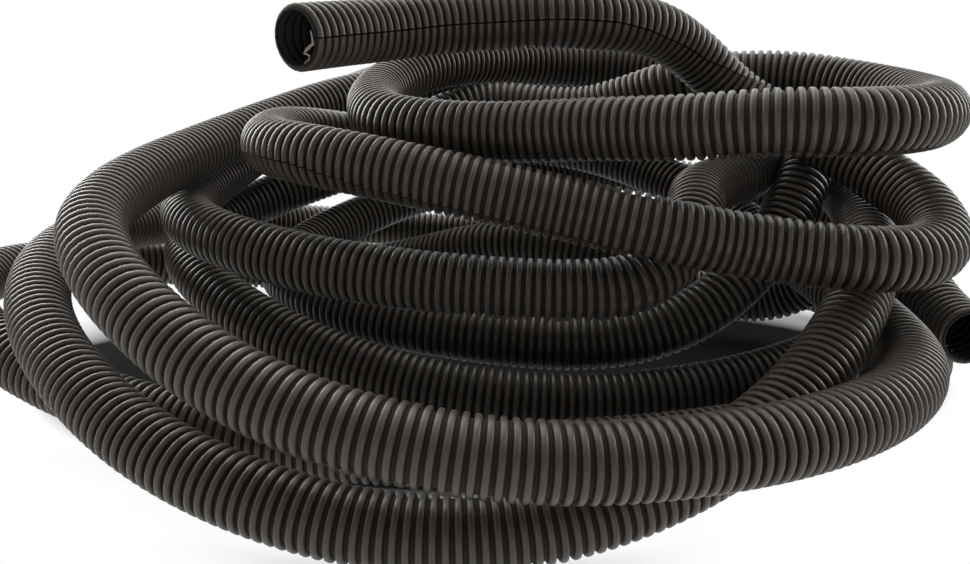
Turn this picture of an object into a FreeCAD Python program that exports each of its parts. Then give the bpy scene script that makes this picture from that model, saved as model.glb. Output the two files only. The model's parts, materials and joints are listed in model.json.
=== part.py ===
import FreeCAD, Part
import math
import os

from FreeCAD import Vector

# A loose coil of split loom: one long corrugated plastic tube, slit along its whole length,
# open at both ends and lying in a heap of fanned-out turns.
# Millimetres, Z up. The origin is on the floor under the middle of the heap.

# Tube: across the crests of its ribs, the depth of its ribs and wall, and the slit
TUBE_OD = 23.5
RIB_DEPTH = 1.95
SLIT_GAP = 0.8
SLIT_TURN = 20.0

# The round rings of the section and the bends of the tube's line are drawn with flats
OUTER_FLAT_COUNT = 12
BORE_FLAT_COUNT = 6
BEND_FLAT_COUNT = 2

# Heap: places of the tube's line, counted in tube diameters, so that the turns still lie
# on each other when the tube's diameter changes. HEAP_MIDDLE is the place on the floor, under
# the middle of the heap, where the origin goes.
LAY_STEP = TUBE_OD
HEAP_MIDDLE = (-0.7295, 0.961, -0.0115)
POINTS_PER_QUARTER = 3
ARC_SHARE = 0.45

# The loose upper turns, from the open end on top down to the coil
LOOSE_TURNS = [
    (-3.4, -2.25, 6.6), (-2.9, -1.55, 6.65), (-2.25, -0.85, 6.7), (-1.4, -0.35, 6.8),
    (-0.4, -0.1, 6.85), (0.6, -0.05, 6.9), (1.5, 0.2, 6.85), (2.45, 0.7, 6.75),
    (3.3, 1.2, 6.25), (4.2, 1.25, 5.4), (5.3, 0.85, 4.9), (6.15, 0.1, 4.4),
    (6.8, -1.2, 3.88), (6.5, -2.55, 3.4), (5.15, -3.25, 3.45), (3.55, -2.85, 3.55),
    (2, -2.85, 3.84), (0.65, -2.55, 4.1), (-0.8, -2.45, 4.4), (-2.25, -2.1, 4.65),
    (-3.45, -1.6, 4.8), (-4.4, -0.6, 4.8), (-4.45, 1.5, 4.85), (-2.45, 2.8, 4.4),
    (-0.85, 3.9, 5.2), (1.3, 3.45, 4.95), (2.35, 3.25, 5.25), (3.4, 2.7, 5.7),
    (5.25, 2.4, 5.85), (6.75, 1.3, 5.6), (6.95, -0.7, 5.47), (6.2, -2.35, 5.46),
    (4.9, -3.1, 5.45), (3.6, -2.9, 5.45), (2.4, -2.4, 5.3), (1.15, -1.8, 5.22),
    (-0.15, -1.3, 5.1), (-1.55, -0.9, 5.1), (-2.6, 0.05, 5.2), (-2.75, 2.1, 5.55),
    (-1.6, 3.8, 6.05), (0.5, 5.6, 5.9), (3.1, 5.55, 5.85), (4.85, 4.4, 5.3),
    (5.1, 2, 3.9),
]

# The lower turns: the rightmost, nearest, leftmost and farthest place of each turn
COIL_PLACES = [
    (3.25, 0.3, 3.95), (1.25, -2.5, 2.7), (-6.55, 1.2, 3.4), (-1.55, 8.6, 5.75),
    (6.6, 4.2, 5.6), (2.05, -0.85, 1.2), (-5.15, 2.85, 1.75), (1.5, 7.4, 3.2),
    (9.15, 4.05, 1.9), (0.9, -1.75, 0.4), (-6.95, 2.35, 2.45), (0.55, 6.65, 4.05),
    (6.3, -2.15, 1.8), (-0.3, -6.65, 1.85), (-6.65, -2.35, 4.2), (-1.1, 7.2, 5.55),
    (6.85, 2.3, 3.65), (-0.8, -6.3, 0.5), (-8.6, 0.15, 2.9), (-3.9, 8, 1.5),
    (8.75, 2.15, 0.5), (-1.5, -3.9, 0.55), (-10.65, 0.85, 2.1), (-3.75, 6.05, 0.75),
]

# The last stretch, from the coil to the lower open end
LOWER_END = [
    (0.6, 3.5, 2.45), (5.2, 3.4, 0.45), (7.1, 2.25, 2), (7.3, 0.7, 2.65),
    (7.45, -0.95, 1.8), (7.45, -1.95, 1.8),
]


def quarter_turn(start, end, leaves_along_y):
    """Points of a quarter ellipse between two outermost places of a turn."""
    points = []
    for k in range(POINTS_PER_QUARTER):
        angle = math.pi / 2 * k / POINTS_PER_QUARTER
        along = math.sin(angle)
        across = 1 - math.cos(angle)
        rise = (1 - math.cos(2 * angle)) / 2
        share_x, share_y = (across, along) if leaves_along_y else (along, across)
        points.append((
            start[0] + (end[0] - start[0]) * share_x,
            start[1] + (end[1] - start[1]) * share_y,
            start[2] + (end[2] - start[2]) * rise,
        ))
    return points


def route():
    """All points of the tube's line, from the upper open end to the lower one."""
    places = list(LOOSE_TURNS)
    for i in range(len(COIL_PLACES) - 1):
        places += quarter_turn(COIL_PLACES[i], COIL_PLACES[i + 1], i % 2 == 0)
    places += COIL_PLACES[-1:] + LOWER_END
    middle = Vector(*HEAP_MIDDLE)
    return [(Vector(*place) - middle) * LAY_STEP for place in places]


def bend(before, corner, after):
    """Points along the arc that joins two straight runs, and the arc's radius and length."""
    back = before - corner
    on = after - corner
    turn = math.pi - back.getAngle(on)
    cut = ARC_SHARE * min(back.Length, on.Length)
    radius = cut / math.tan(turn / 2)
    start = corner + back * (cut / back.Length)
    end = corner + on * (cut / on.Length)
    inward = (start + end) * 0.5 - corner
    inward.normalize()
    centre = corner + inward * (radius / math.cos(turn / 2))
    axis = back.cross(on)
    axis.normalize()
    step = FreeCAD.Rotation(axis, -math.degrees(turn / BEND_FLAT_COUNT))
    spoke = start - centre
    points = [start]
    for _ in range(BEND_FLAT_COUNT):
        spoke = step.multVec(spoke)
        points.append(centre + spoke)
    return points, radius, radius * turn


def tube_line(points):
    """The line of the tube: straight runs joined by tangent arcs, with radii and length."""
    line = points[:1]
    radii = []
    length = 0.0
    for before, corner, after in zip(points, points[1:], points[2:]):
        arc, radius, arc_length = bend(before, corner, after)
        length += (arc[0] - line[-1]).Length + arc_length
        line += arc
        radii.append(radius)
    length += (points[-1] - line[-1]).Length
    return line + points[-1:], radii, length


def ring(diameter, flats):
    """Corners of one ring, from one edge of the slit round to the other.

    The corners stand out far enough for the ring to have the round one's area.
    """
    share = 2 * math.pi / flats
    radius = diameter / 2 * math.sqrt(share / math.sin(share))
    half = math.asin(SLIT_GAP / 2 / radius)
    step = (2 * math.pi - 2 * half) / flats
    return [
        (radius * math.cos(half + step * i), radius * math.sin(half + step * i))
        for i in range(flats + 1)
    ]


def section(centre, along):
    """The tube's cross section at its upper end: two rings joined at the edges of the slit."""
    upright = along.cross(Vector(0, 0, 1)).cross(along)
    upright.normalize()
    slit_side = FreeCAD.Rotation(along, SLIT_TURN).multVec(upright)
    across = along.cross(slit_side)
    bore = TUBE_OD - 2 * RIB_DEPTH
    corners = ring(TUBE_OD, OUTER_FLAT_COUNT) + ring(bore, BORE_FLAT_COUNT)[::-1]
    points = [centre + slit_side * u + across * v for u, v in corners]
    return Part.makePolygon(points + points[:1])


def loom(line):
    """The tube swept along its line with mitred joints, hollow and slit all the way."""
    along = line[1] - line[0]
    along.normalize()
    profile = section(line[0], along)
    mitred = 1
    return Part.makePolygon(line).makePipeShell([profile], True, False, mitred), profile


def main():
    os.makedirs("parts", exist_ok=True)
    line, radii, length = tube_line(route())
    solid, profile = loom(line)
    area = Part.Face(profile).Area
    print(f"length {length:.0f} mm, bend radii {min(radii):.0f} to {max(radii):.0f} mm")
    print(f"volume {solid.Volume:.0f}, section times length {area * length:.0f}")
    print("valid", solid.isValid(), "solids", len(solid.Solids), solid.BoundBox)
    solid.exportStep("parts/loom.step")


main()
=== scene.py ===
import json
import math

import bmesh
import bpy
import numpy as np
from bpy.props import FloatProperty, FloatVectorProperty, IntProperty, PointerProperty
from mathutils import Matrix, Vector

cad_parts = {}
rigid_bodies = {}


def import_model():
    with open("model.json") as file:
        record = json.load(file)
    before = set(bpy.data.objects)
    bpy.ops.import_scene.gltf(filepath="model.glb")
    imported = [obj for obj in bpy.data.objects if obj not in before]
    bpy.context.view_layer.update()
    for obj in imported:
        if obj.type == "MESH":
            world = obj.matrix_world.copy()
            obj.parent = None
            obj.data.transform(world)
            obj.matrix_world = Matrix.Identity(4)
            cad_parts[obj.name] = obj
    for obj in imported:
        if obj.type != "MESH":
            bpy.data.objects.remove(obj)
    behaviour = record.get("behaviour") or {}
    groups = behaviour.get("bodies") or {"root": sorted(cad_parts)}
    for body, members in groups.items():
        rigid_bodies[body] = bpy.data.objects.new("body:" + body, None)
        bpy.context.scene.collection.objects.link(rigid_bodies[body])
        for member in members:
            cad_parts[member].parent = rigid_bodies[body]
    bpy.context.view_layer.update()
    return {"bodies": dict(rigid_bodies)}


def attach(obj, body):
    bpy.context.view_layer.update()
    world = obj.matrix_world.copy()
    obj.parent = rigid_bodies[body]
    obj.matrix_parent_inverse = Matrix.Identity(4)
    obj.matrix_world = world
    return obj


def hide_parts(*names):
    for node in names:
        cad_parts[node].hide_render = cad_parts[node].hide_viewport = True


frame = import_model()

bl_info = {
    "name": "Split Loom Heap",
    "version": (1, 0, 0),
    "blender": (4, 5, 0),
    "location": "3D View > Sidebar > Loom",
    "description": "A long split loom tube in a loose heap of turns, on a pale floor",
    "category": "Object",
}

# Places along the tube's line, counted in tube diameters, as in the part's source
HEAP_MIDDLE = (-0.7295, 0.961, -0.0115)
POINTS_PER_QUARTER = 3
LOOSE_TURNS = [
    (-3.4, -2.25, 6.6), (-2.9, -1.55, 6.65), (-2.25, -0.85, 6.7), (-1.4, -0.35, 6.8),
    (-0.4, -0.1, 6.85), (0.6, -0.05, 6.9), (1.5, 0.2, 6.85), (2.45, 0.7, 6.75),
    (3.3, 1.2, 6.25), (4.2, 1.25, 5.4), (5.3, 0.85, 4.9), (6.15, 0.1, 4.4),
    (6.8, -1.2, 3.88), (6.5, -2.55, 3.4), (5.15, -3.25, 3.45), (3.55, -2.85, 3.55),
    (2, -2.85, 3.84), (0.65, -2.55, 4.1), (-0.8, -2.45, 4.4), (-2.25, -2.1, 4.65),
    (-3.45, -1.6, 4.8), (-4.4, -0.6, 4.8), (-4.45, 1.5, 4.85), (-2.45, 2.8, 4.4),
    (-0.85, 3.9, 5.2), (1.3, 3.45, 4.95), (2.35, 3.25, 5.25), (3.4, 2.7, 5.7),
    (5.25, 2.4, 5.85), (6.75, 1.3, 5.6), (6.95, -0.7, 5.47), (6.2, -2.35, 5.46),
    (4.9, -3.1, 5.45), (3.6, -2.9, 5.45), (2.4, -2.4, 5.3), (1.15, -1.8, 5.22),
    (-0.15, -1.3, 5.1), (-1.55, -0.9, 5.1), (-2.6, 0.05, 5.2), (-2.75, 2.1, 5.55),
    (-1.6, 3.8, 6.05), (0.5, 5.6, 5.9), (3.1, 5.55, 5.85), (4.85, 4.4, 5.3),
    (5.1, 2, 3.9),
]
COIL_PLACES = [
    (3.25, 0.3, 3.95), (1.25, -2.5, 2.7), (-6.55, 1.2, 3.4), (-1.55, 8.6, 5.75),
    (6.6, 4.2, 5.6), (2.05, -0.85, 1.2), (-5.15, 2.85, 1.75), (1.5, 7.4, 3.2),
    (9.15, 4.05, 1.9), (0.9, -1.75, 0.4), (-6.95, 2.35, 2.45), (0.55, 6.65, 4.05),
    (6.3, -2.15, 1.8), (-0.3, -6.65, 1.85), (-6.65, -2.35, 4.2), (-1.1, 7.2, 5.55),
    (6.85, 2.3, 3.65), (-0.8, -6.3, 0.5), (-8.6, 0.15, 2.9), (-3.9, 8, 1.5),
    (8.75, 2.15, 0.5), (-1.5, -3.9, 0.55), (-10.65, 0.85, 2.1), (-3.75, 6.05, 0.75),
]
LOWER_END = [
    (0.6, 3.5, 2.45), (5.2, 3.4, 0.45), (7.1, 2.25, 2), (7.3, 0.7, 2.65),
    (7.45, -0.95, 1.8), (7.45, -1.95, 1.8),
]

# Which way the slit looks at some places of the line
SLIT_LOOKS = [
    (0, (0.81, -0.58, 0.0)), (4, (0.15, -0.99, -0.04)), (6, (0.37, -0.93, -0.04)),
    (7, (0.37, -0.87, -0.33)), (8, (0.22, -0.97, -0.11)), (10, (0.4, 0.2, 0.9)),
    (12, (0.0, 0.0, -1.0)), (17, (-0.23, -0.76, -0.6)), (19, (-0.33, -0.8, -0.49)),
    (20, (-0.57, -0.81, -0.15)), (22, (-0.96, 0.28, 0.0)), (25, (0.0, 0.7, -0.7)),
    (120, (0.0, 0.7, -0.7)),
]

# One rib's outline: share of the way along it, and share of the groove's depth
RIB_OUTSIDE = [
    (0.0, 0.0), (0.17, 0.0), (0.21, 0.62), (0.3, 0.93), (0.5, 1.0),
    (0.7, 0.93), (0.79, 0.62), (0.83, 0.0), (1.0, 0.0),
]
RIB_INSIDE = [
    (1.0, 0.0), (0.75, 0.0), (0.66, 0.8), (0.5, 0.92), (0.34, 0.8), (0.25, 0.0), (0.0, 0.0),
]
SIDES_AROUND = 24
# A sliver of plastic left at the upper mouth by the cut: places out towards the slit and up,
# in bore radii, and its width there in metres
BURR = [
    (0.86, 0.27, 0.0003), (0.93, 0.1, 0.0007), (0.97, -0.18, 0.001), (0.62, -0.4, 0.0012),
    (0.48, -0.52, 0.001), (0.72, -0.6, 0.0007), (0.66, -0.74, 0.0005), (0.4, -0.88, 0.0003),
]
# The floor's oval that the turns surround, where the floor is painted dark as shade, in metres:
# its middle, half its width, and its reach to the front and to the back
PAINTED_SHADE_OVAL = (0.0, 0.062, 0.23, 0.187, 0.11)
END_RIBS = 40
STRETCHES = 5


def sizes():
    return bpy.context.scene.loom_sizes


def finishes():
    return bpy.context.scene.loom_finishes


class LoomSizes(bpy.types.PropertyGroup):
    tube_width: FloatProperty(
        name="Tube Width", description="Width over the crests of the ribs",
        default=0.0235, min=0.005, max=0.06, unit="LENGTH", precision=4)
    rib_spacing: FloatProperty(
        name="Rib Spacing", description="Distance from one rib to the next",
        default=0.0036, min=0.002, max=0.01, unit="LENGTH", precision=4)
    groove_depth: FloatProperty(
        name="Groove Depth", description="Height of the ribs over the grooves",
        default=0.0016, min=0.0003, max=0.003, unit="LENGTH", precision=5)
    wall: FloatProperty(
        name="Wall", description="Thickness of the plastic wall",
        default=0.0006, min=0.0003, max=0.002, unit="LENGTH", precision=5)
    slit_gap: FloatProperty(
        name="Slit Gap", description="Opening of the slit between its two lips",
        default=0.0006, min=0.0002, max=0.003, unit="LENGTH", precision=5)


class LoomFinishes(bpy.types.PropertyGroup):
    crest_colour: FloatVectorProperty(
        name="Crest Colour", description="Colour of the rib crests",
        default=(0.043, 0.035, 0.0288), subtype="COLOR", size=3, min=0.0, max=1.0)
    # Painted shade: the grooves are given a colour darker than the crests, as shade between the
    # ribs
    groove_shade_colour: FloatVectorProperty(
        name="Groove Colour", description="Colour down in the grooves",
        default=(0.0035, 0.0029, 0.0025), subtype="COLOR", size=3, min=0.0, max=1.0)
    worn_colour: FloatVectorProperty(
        name="Worn Colour", description="Colour of scuffed and dusty patches",
        default=(0.075, 0.063, 0.053), subtype="COLOR", size=3, min=0.0, max=1.0)
    # Painted highlight: the sliver gets a pale colour for the light its thin edge catches
    burr_highlight_colour: FloatVectorProperty(
        name="Burr Colour", description="Colour of the thin sliver left by the cut",
        default=(0.2, 0.18, 0.17), subtype="COLOR", size=3, min=0.0, max=1.0)
    floor_colour: FloatVectorProperty(
        name="Floor Colour", description="Colour of the floor",
        default=(0.86, 0.86, 0.86), subtype="COLOR", size=3, min=0.0, max=1.0)


# The line of the tube


def quarter_turn(start, end, leaves_along_y):
    """Points of a quarter ellipse between two outermost places of a turn."""
    points = []
    for k in range(POINTS_PER_QUARTER):
        angle = math.pi / 2 * k / POINTS_PER_QUARTER
        along = math.sin(angle)
        across = 1 - math.cos(angle)
        rise = (1 - math.cos(2 * angle)) / 2
        share_x, share_y = (across, along) if leaves_along_y else (along, across)
        points.append((
            start[0] + (end[0] - start[0]) * share_x,
            start[1] + (end[1] - start[1]) * share_y,
            start[2] + (end[2] - start[2]) * rise,
        ))
    return points


def route():
    """All points of the tube's line in metres, from the upper open end to the lower one."""
    places = list(LOOSE_TURNS)
    for i in range(len(COIL_PLACES) - 1):
        places += quarter_turn(COIL_PLACES[i], COIL_PLACES[i + 1], i % 2 == 0)
    places += COIL_PLACES[-1:] + LOWER_END
    middle = Vector(HEAP_MIDDLE)
    return [(Vector(place) - middle) * sizes().tube_width for place in places]


def smooth_line():
    """Closely spaced points along the smooth curve that the route's points steer."""
    points = route()
    curve = bpy.data.curves.new("route", "CURVE")
    curve.dimensions = "3D"
    spline = curve.splines.new("NURBS")
    spline.points.add(len(points) - 1)
    for point, place in zip(spline.points, points):
        point.co = (*place, 1.0)
    spline.order_u = 3
    spline.use_endpoint_u = True
    spline.resolution_u = 24
    holder = bpy.data.objects.new("route", curve)
    mesh = bpy.data.meshes.new_from_object(holder)
    line = np.array([v.co for v in mesh.vertices], float)
    bpy.data.objects.remove(holder)
    bpy.data.curves.remove(curve)
    bpy.data.meshes.remove(mesh)
    return line, points


class TubeLine:
    """The smooth line with its direction and the way to the slit at every point."""

    def __init__(self):
        self.points, stations = smooth_line()
        steps = np.linalg.norm(np.diff(self.points, axis=0), axis=1)
        self.along = np.concatenate([[0.0], np.cumsum(steps)])
        self.length = self.along[-1]
        ahead = np.gradient(self.points, axis=0)
        self.ahead = ahead / np.linalg.norm(ahead, axis=1)[:, None]
        carried = self.carried_sideways()
        turn = self.slit_turns(stations, carried)
        beside = np.cross(self.ahead, carried)
        self.slit = carried * np.cos(turn)[:, None] + beside * np.sin(turn)[:, None]
        self.beside = np.cross(self.ahead, self.slit)

    def carried_sideways(self):
        """A sideways direction carried along the line without turning about it."""
        carried = np.empty_like(self.points)
        side = np.cross(self.ahead[0], (0.0, 1.0, 0.0))
        for i, ahead in enumerate(self.ahead):
            side = side - ahead * (side @ ahead)
            side = side / np.linalg.norm(side)
            carried[i] = side
        return carried

    def slit_turns(self, stations, carried):
        """How far the slit is turned from the carried direction, at every point."""
        places = []
        turns = []
        for station, look in SLIT_LOOKS:
            i = int(np.argmin(np.linalg.norm(self.points - np.array(stations[station]), axis=1)))
            beside = np.cross(self.ahead[i], carried[i])
            turn = math.atan2(np.array(look) @ beside, np.array(look) @ carried[i])
            if turns:
                turn += 2 * math.pi * round((turns[-1] - turn) / (2 * math.pi))
            places.append(self.along[i])
            turns.append(turn)
        return np.interp(self.along, places, turns)

    def at(self, distance, values):
        """One of the line's own rows of directions or points, read at given distances."""
        return np.stack([np.interp(distance, self.along, values[:, k]) for k in range(3)], 1)

    def between(self, start, end):
        """The line's points from one distance to another."""
        inside = self.points[(self.along > start + 1e-4) & (self.along < end - 1e-4)]
        ends = self.at(np.array([start, end]), self.points)
        return [list(p) for p in np.vstack([ends[:1], inside, ends[1:]])]


# The tube's mesh


def rib_outline(corrugated_bore):
    """Corners of one rib's cut wall: along the tube and out from its middle."""
    own = sizes()
    groove = own.tube_width / 2 - own.groove_depth
    outside = [(a * own.rib_spacing, groove + rise * own.groove_depth) for a, rise in RIB_OUTSIDE]
    shape = RIB_INSIDE if corrugated_bore else [RIB_INSIDE[0], RIB_INSIDE[-1]]
    inside = [
        (a * own.rib_spacing, groove - own.wall + rise * own.groove_depth) for a, rise in shape
    ]
    return outside, inside


def rib(corrugated_bore):
    """One rib of the straight tube, open where the next ribs join it, with both slit lips."""
    outside, inside = rib_outline(corrugated_bore)
    half_gap = math.asin(sizes().slit_gap / sizes().tube_width)
    turn = 2 * math.pi - 2 * half_gap
    bm = bmesh.new()
    verts = [bm.verts.new((along, 0, out)) for along, out in outside + inside]
    bmesh.ops.rotate(bm, verts=verts, matrix=Matrix.Rotation(half_gap, 3, "X"))
    lip = bm.faces.new(verts)
    other = bmesh.ops.duplicate(bm, geom=[lip])["geom"]
    other_verts = [e for e in other if isinstance(e, bmesh.types.BMVert)]
    bmesh.ops.rotate(bm, verts=other_verts, matrix=Matrix.Rotation(turn, 3, "X"))
    split = len(outside)
    runs = [verts[:split], verts[split:]]
    edges = [
        bm.edges.get((a, b)) for run in runs for a, b in zip(run, run[1:])
    ]
    bmesh.ops.spin(
        bm, geom=verts + edges, cent=(0, 0, 0), axis=(1, 0, 0), dvec=(0, 0, 0),
        angle=turn, steps=SIDES_AROUND)
    bmesh.ops.remove_doubles(bm, verts=bm.verts, dist=1e-6)
    bmesh.ops.recalc_face_normals(bm, faces=bm.faces)
    mesh = bpy.data.meshes.new("rib")
    bm.to_mesh(mesh)
    bm.free()
    return mesh


def straight_tube(name, ribs, corrugated_bore):
    """A straight row of ribs, closed at both ends, lying along X from the origin."""
    piece = bpy.data.objects.new(name, rib(corrugated_bore))
    bpy.context.scene.collection.objects.link(piece)
    row = piece.modifiers.new("ribs", "ARRAY")
    row.count = ribs
    row.use_relative_offset = False
    row.use_constant_offset = True
    row.constant_offset_displace = (sizes().rib_spacing, 0, 0)
    row.use_merge_vertices = True
    row.merge_threshold = 2e-5
    graph = bpy.context.evaluated_depsgraph_get()
    mesh = bpy.data.meshes.new_from_object(piece.evaluated_get(graph))
    piece.modifiers.clear()
    piece.data = mesh
    mesh.name = name
    bm = bmesh.new()
    bm.from_mesh(mesh)
    rims = [e for e in bm.edges if e.is_boundary]
    bmesh.ops.holes_fill(bm, edges=rims, sides=0)
    bmesh.ops.recalc_face_normals(bm, faces=bm.faces)
    for face in bm.faces:
        face.smooth = True
    bm.to_mesh(mesh)
    bm.free()
    mesh.set_sharp_from_angle(angle=math.radians(80))
    return piece


def add_burr(piece):
    """Joins the burr to the straight tube, just in front of its open end."""
    own = sizes()
    bore = own.tube_width / 2 - own.groove_depth - own.wall
    middle = [Vector((0, up * bore, out * bore)) for out, up, _ in BURR]
    bm = bmesh.new()
    bm.from_mesh(piece.data)
    pairs = []
    for i, (_, _, width) in enumerate(BURR):
        ahead = middle[min(i + 1, len(BURR) - 1)] - middle[max(i - 1, 0)]
        aside = ahead.cross(Vector((1, 0, 0))).normalized() * width / 2
        lift = Vector((-0.0003 - width / 2, 0, 0))
        pairs.append([bm.verts.new(middle[i] + lift + way) for way in (aside, -aside)])
    strip = [
        bm.faces.new((a[0], a[1], b[1], b[0])) for a, b in zip(pairs, pairs[1:])
    ]
    deeper = bmesh.ops.extrude_face_region(bm, geom=strip, use_keep_orig=True)["geom"]
    verts = [e for e in deeper if isinstance(e, bmesh.types.BMVert)]
    bmesh.ops.translate(bm, verts=verts, vec=(0.0002, 0, 0))
    bmesh.ops.recalc_face_normals(bm, faces=bm.faces)
    bm.to_mesh(piece.data)
    bm.free()


def lay_along(piece, line, start):
    """Bends a straight tube onto the line, and keeps its straight places as an attribute."""
    mesh = piece.data
    flat = np.empty(len(mesh.vertices) * 3)
    mesh.vertices.foreach_get("co", flat)
    place = flat.reshape(-1, 3)
    place[:, 0] += start
    kept = mesh.attributes.new("tube_place", "FLOAT_VECTOR", "POINT")
    kept.data.foreach_set("vector", place.astype(np.float32).ravel())
    rows = [line.at(place[:, 0], values) for values in (line.points, line.beside, line.slit)]
    centre, beside, slit = rows
    beside /= np.linalg.norm(beside, axis=1)[:, None]
    slit /= np.linalg.norm(slit, axis=1)[:, None]
    before = line.ahead[0] * np.minimum(place[:, :1], 0.0)
    bent = centre + before + beside * -place[:, 1:2] + slit * place[:, 2:3]
    mesh.vertices.foreach_set("co", bent.ravel())
    mesh.update()


def add_stretch(name, line, start, ribs, corrugated_bore):
    """One stretch of the loom, laid on the line from a distance along it."""
    piece = straight_tube(name, ribs, corrugated_bore)
    if start == 0:
        add_burr(piece)
    lay_along(piece, line, start)
    piece.data.materials.append(loom_plastic())
    end = start + ribs * sizes().rib_spacing
    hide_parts("loom")
    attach(piece, "root" if "root" in frame["bodies"] else list(frame["bodies"])[0])
    path = line.between(start, min(end, line.length))
    end - start
    return piece


def rib_counts(line):
    """Whole ribs of the tube, and of each stretch between its two ends."""
    whole = int(line.length / sizes().rib_spacing)
    share = (whole - 2 * END_RIBS) // STRETCHES
    counts = [share] * STRETCHES
    counts[-1] += whole - 2 * END_RIBS - share * STRETCHES
    return counts


# Materials


class Values:
    """A node's output that can be used in sums, as a plain number is."""

    def __init__(self, tree, socket):
        self.tree = tree
        self.socket = socket

    def maths(self, operation, *others, first=None, clamp=False):
        inputs = [self.socket if first is None else first, *others]
        return self.tree.add(
            "ShaderNodeMath", {"operation": operation, "use_clamp": clamp},
            {i: value for i, value in enumerate(inputs)})

    def __add__(self, other):
        return self.maths("ADD", other)

    __radd__ = __add__

    def __mul__(self, other):
        return self.maths("MULTIPLY", other)

    __rmul__ = __mul__

    def __sub__(self, other):
        return self.maths("SUBTRACT", other)

    def __rsub__(self, other):
        return self.maths("SUBTRACT", self, first=other)

    def __truediv__(self, other):
        return self.maths("DIVIDE", other)

    def clamped(self):
        return self.maths("ADD", 0.0, clamp=True)

    def root(self):
        return self.maths("SQRT")

    def larger(self, other):
        return self.maths("MAXIMUM", other)

    def above(self, low, high):
        """0 up to low, 1 from high on, and even in between."""
        return ((self - low) / (high - low)).clamped()


class Tree:
    """A material's nodes."""

    def __init__(self, material):
        material.use_nodes = True
        self.nodes = material.node_tree.nodes
        self.links = material.node_tree.links
        self.nodes.clear()

    def node(self, kind, settings=None, inputs=None):
        made = self.nodes.new(kind)
        for key, value in (settings or {}).items():
            setattr(made, key, value)
        for key, value in (inputs or {}).items():
            socket = made.inputs[key]
            source = value.socket if isinstance(value, Values) else value
            if isinstance(source, bpy.types.NodeSocket):
                self.links.new(source, socket)
            else:
                socket.default_value = source
        return made

    def add(self, kind, settings=None, inputs=None, output=0):
        return Values(self, self.node(kind, settings, inputs).outputs[output])

    def blend(self, factor, low, high):
        """A colour between two others."""
        made = self.node("ShaderNodeMix", {"data_type": "RGBA"}, {0: factor, 6: low, 7: high})
        return Values(self, made.outputs[2])


def loom_plastic():
    """Black polyethylene: a dull sheen on the crests, faint moulding streaks, and painted shade
    darkening the grooves.
    """
    found = bpy.data.materials.get("ribbed_plastic")
    if found:
        return found
    material = bpy.data.materials.new("ribbed_plastic")
    tree = Tree(material)
    own, looks = sizes(), finishes()
    place = tree.add(
        "ShaderNodeAttribute", {"attribute_name": "tube_place"}, output=1)
    parts = tree.node("ShaderNodeSeparateXYZ", {}, {0: place})
    across, out = Values(tree, parts.outputs[1]), Values(tree, parts.outputs[2])
    radius = (across * across + out * out).root()
    crest = own.tube_width / 2
    height = radius.above(crest - own.groove_depth, crest - 0.1 * own.groove_depth)

    stretched = tree.add("ShaderNodeVectorMath", {"operation": "MULTIPLY"}, {
        0: place, 1: (2600.0, 140.0, 140.0)})
    streaks = tree.add("ShaderNodeTexNoise", {}, {
        "Vector": stretched, "Scale": 1.0, "Detail": 3.0, "Roughness": 0.6})
    patches = tree.add("ShaderNodeTexNoise", {}, {
        "Vector": place, "Scale": 55.0, "Detail": 4.0, "Roughness": 0.6})
    grain = tree.add("ShaderNodeTexNoise", {}, {
        "Vector": place, "Scale": 1500.0, "Detail": 2.0, "Roughness": 0.5})

    def colour(rgb):
        return (*rgb, 1.0)

    scuffs = (patches.above(0.5, 0.72) * streaks.above(0.42, 0.7) * height).clamped()
    # Painted shade: the base colour darkens from the crests down into the grooves
    base = tree.blend(height, colour(looks.groove_shade_colour), colour(looks.crest_colour))
    base = tree.blend(scuffs * 0.8, base, colour(looks.worn_colour))
    # Painted highlight: the burr, in front of the open end, takes the pale colour
    burr = (0.0 - Values(tree, parts.outputs[0])).above(0.0, 0.0002)
    base = tree.blend(burr, base, colour(looks.burr_highlight_colour))
    roughness = 0.3 + 0.12 * patches + 0.4 * (1.0 - height) + 0.08 * streaks
    relief = streaks * 0.6 + grain * 0.4
    bump = tree.add("ShaderNodeBump", {}, {
        "Strength": 0.35, "Distance": 0.00012, "Height": relief})
    shader = tree.add("ShaderNodeBsdfPrincipled", {}, {
        "Base Color": base, "Roughness": roughness, "Normal": bump,
        "IOR": 1.5, "Specular IOR Level": 0.5, "Specular Tint": (1.0, 0.94, 0.87, 1.0)})
    tree.node("ShaderNodeOutputMaterial", {}, {0: shader})
    return material


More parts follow.
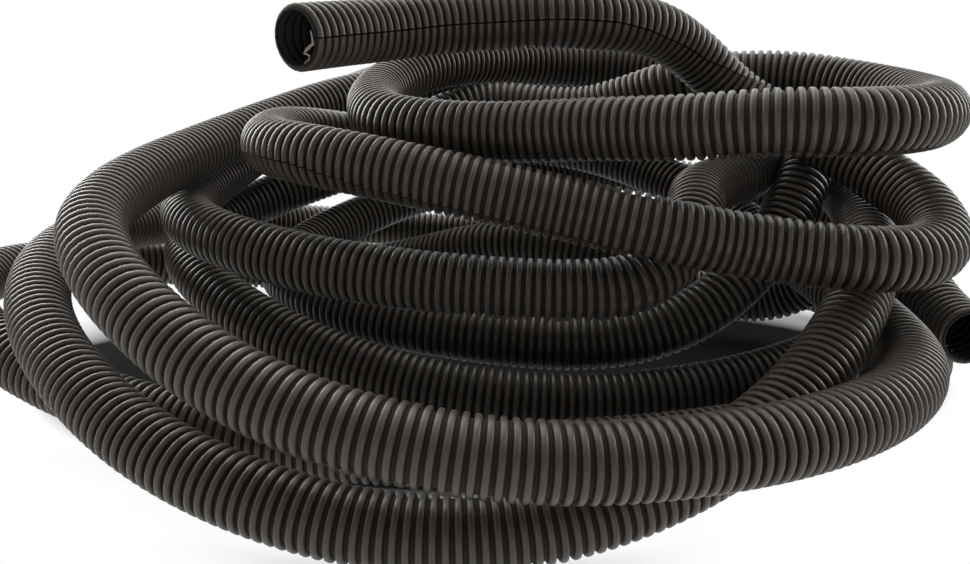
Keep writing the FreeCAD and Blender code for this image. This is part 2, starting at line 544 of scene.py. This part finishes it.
def floor_finish():
    """A pale floor showing white, with painted shade between the turns and a faint painted shadow
    at their edge.
    """
    material = bpy.data.materials.new("pale_floor")
    tree = Tree(material)
    colour = (*finishes().floor_colour, 1.0)
    seen = tree.node("ShaderNodeLightPath")
    direct = Values(tree, seen.outputs["Is Camera Ray"])
    mirrored = Values(tree, seen.outputs["Is Glossy Ray"])
    open_sky = tree.add("ShaderNodeAmbientOcclusion", {"samples": 8}, {"Distance": 0.03}, output=1)
    place = tree.node("ShaderNodeTexCoord")
    parts = tree.node("ShaderNodeSeparateXYZ", {}, {0: place.outputs["Object"]})
    x, y, half_width, to_front, to_back = PAINTED_SHADE_OVAL
    across = (Values(tree, parts.outputs[0]) - x) / half_width
    back = Values(tree, parts.outputs[1]) - y
    blur = 0.08 + 0.5 * back.above(-0.03, 0.06)
    back = (back / to_back).larger(back / -to_front)
    outside = (across * across + back * back).root().above(1.0 - blur, 1.0)
    # Painted shade: the camera sees the floor this near black inside the oval and close to the
    # turns
    dark = (0.03, 0.03, 0.03, 1.0)
    matte = tree.add("ShaderNodeBsdfDiffuse", {}, {"Color": tree.blend(direct, colour, dark)})
    white = tree.add("ShaderNodeEmission", {}, {"Color": (1, 1, 1, 1), "Strength": 1.0})
    # Painted shadow: near the turns the ambient occlusion lowers the white share and shows the
    # painted shade
    share = (direct + mirrored) * outside * open_sky.above(0.0, 0.55)
    shown = tree.add("ShaderNodeMixShader", {}, {0: share, 1: matte, 2: white})
    tree.node("ShaderNodeOutputMaterial", {}, {0: shown})
    return material


# The pieces and the stage


class LOOM_OT_upper_end(bpy.types.Operator):
    """Add the upper open end, with rings showing in its mouth"""
    bl_idname = "loom.upper_end"
    bl_label = "Upper End"

    def execute(self, context):
        add_stretch("loom_upper_end", TubeLine(), 0.0, END_RIBS, True)
        return {"FINISHED"}


class LOOM_OT_turns(bpy.types.Operator):
    """Add the long turns of the heap, in stretches that join end to end"""
    bl_idname = "loom.turns"
    bl_label = "Turns"

    def execute(self, context):
        line = TubeLine()
        start = END_RIBS * sizes().rib_spacing
        for i, ribs in enumerate(rib_counts(line)):
            add_stretch(f"loom_turns_{i + 1}", line, start, ribs, False)
            start += ribs * sizes().rib_spacing
        return {"FINISHED"}


class LOOM_OT_lower_end(bpy.types.Operator):
    """Add the lower open end, with rings showing in its mouth"""
    bl_idname = "loom.lower_end"
    bl_label = "Lower End"

    def execute(self, context):
        line = TubeLine()
        start = (END_RIBS + sum(rib_counts(line))) * sizes().rib_spacing
        add_stretch("loom_lower_end", line, start, END_RIBS, True)
        return {"FINISHED"}


def add_lamp(name, place, target, size, watts):
    """A square soft light that looks at a point."""
    lamp = bpy.data.lights.new(name, "AREA")
    lamp.size = size
    lamp.energy = watts
    holder = bpy.data.objects.new(name, lamp)
    holder.location = place
    holder.rotation_euler = (Vector(target) - Vector(place)).to_track_quat("-Z", "Y").to_euler()
    bpy.context.scene.collection.objects.link(holder)


class LOOM_OT_stage(bpy.types.Operator):
    """Add the pale floor, the soft lights and the camera"""
    bl_idname = "loom.stage"
    bl_label = "Stage"

    def execute(self, context):
        scene = context.scene
        bm = bmesh.new()
        bmesh.ops.create_circle(bm, cap_ends=True, segments=64, radius=8.0)
        mesh = bpy.data.meshes.new("floor")
        bm.to_mesh(mesh)
        bm.free()
        floor = bpy.data.objects.new("floor", mesh)
        mesh.materials.append(floor_finish())
        scene.collection.objects.link(floor)

        world = bpy.data.worlds.new("studio")
        scene.world = world
        tree = Tree(world)
        seen = tree.node("ShaderNodeLightPath")
        way = tree.node("ShaderNodeTexCoord")
        parts = tree.node("ShaderNodeSeparateXYZ", {}, {0: way.outputs["Generated"]})
        behind = Values(tree, parts.outputs[1]).above(-0.75, 0.1)
        plain = tree.add("ShaderNodeBackground", {}, {
            "Color": (1, 1, 1, 1), "Strength": 0.1 + 1.15 * behind})
        white = tree.add("ShaderNodeBackground", {}, {"Color": (1, 1, 1, 1), "Strength": 1.0})
        share = Values(tree, seen.outputs["Is Camera Ray"])
        both = tree.add("ShaderNodeMixShader", {}, {0: share, 1: plain, 2: white})
        tree.node("ShaderNodeOutputWorld", {}, {0: both})

        heap = (0.0, 0.0, 0.08)
        add_lamp("top_back", (-0.1, 0.95, 1.15), heap, 1.5, 11.0)
        add_lamp("low_front", (0.0, -1.5, 0.15), heap, 1.0, 3.0)
        add_lamp("left", (-0.95, 0.85, 0.55), heap, 0.8, 14.0)
        add_lamp("right", (1.3, 0.6, 0.6), heap, 0.9, 9.0)

        lens = bpy.data.cameras.new("camera")
        lens.sensor_width = 36.0
        lens.lens = 36.0 * 900.0 / 970.0
        camera = bpy.data.objects.new("camera", lens)
        camera.location = (0.00304, -0.39858, 0.16007)
        camera.rotation_euler = (math.radians(90 - 16), 0, 0)
        lens.clip_start = 0.01
        scene.collection.objects.link(camera)
        scene.camera = camera
        scene.view_settings.view_transform = "Standard"
        return {"FINISHED"}


class LOOM_PT_panel(bpy.types.Panel):
    """Pieces and settings of the loom heap"""
    bl_idname = "LOOM_PT_panel"
    bl_label = "Split Loom Heap"
    bl_space_type = "VIEW_3D"
    bl_region_type = "UI"
    bl_category = "Loom"

    def draw(self, context):
        layout = self.layout
        for step in STEPS:
            layout.operator(step.bl_idname)
        for group in (context.scene.loom_sizes, context.scene.loom_finishes):
            for name in group.__annotations__:
                layout.prop(group, name)


STEPS = (LOOM_OT_upper_end, LOOM_OT_turns, LOOM_OT_lower_end, LOOM_OT_stage)
CLASSES = (LoomSizes, LoomFinishes, *STEPS, LOOM_PT_panel)


def register():
    for made in CLASSES:
        bpy.utils.register_class(made)
    bpy.types.Scene.loom_sizes = PointerProperty(type=LoomSizes)
    bpy.types.Scene.loom_finishes = PointerProperty(type=LoomFinishes)


def unregister():
    del bpy.types.Scene.loom_finishes
    del bpy.types.Scene.loom_sizes
    for made in reversed(CLASSES):
        bpy.utils.unregister_class(made)


def main():
    register()
    bpy.ops.loom.upper_end()
    bpy.ops.loom.turns()
    bpy.ops.loom.lower_end()
    bpy.ops.loom.stage()


if __name__ == "__main__":
    main()
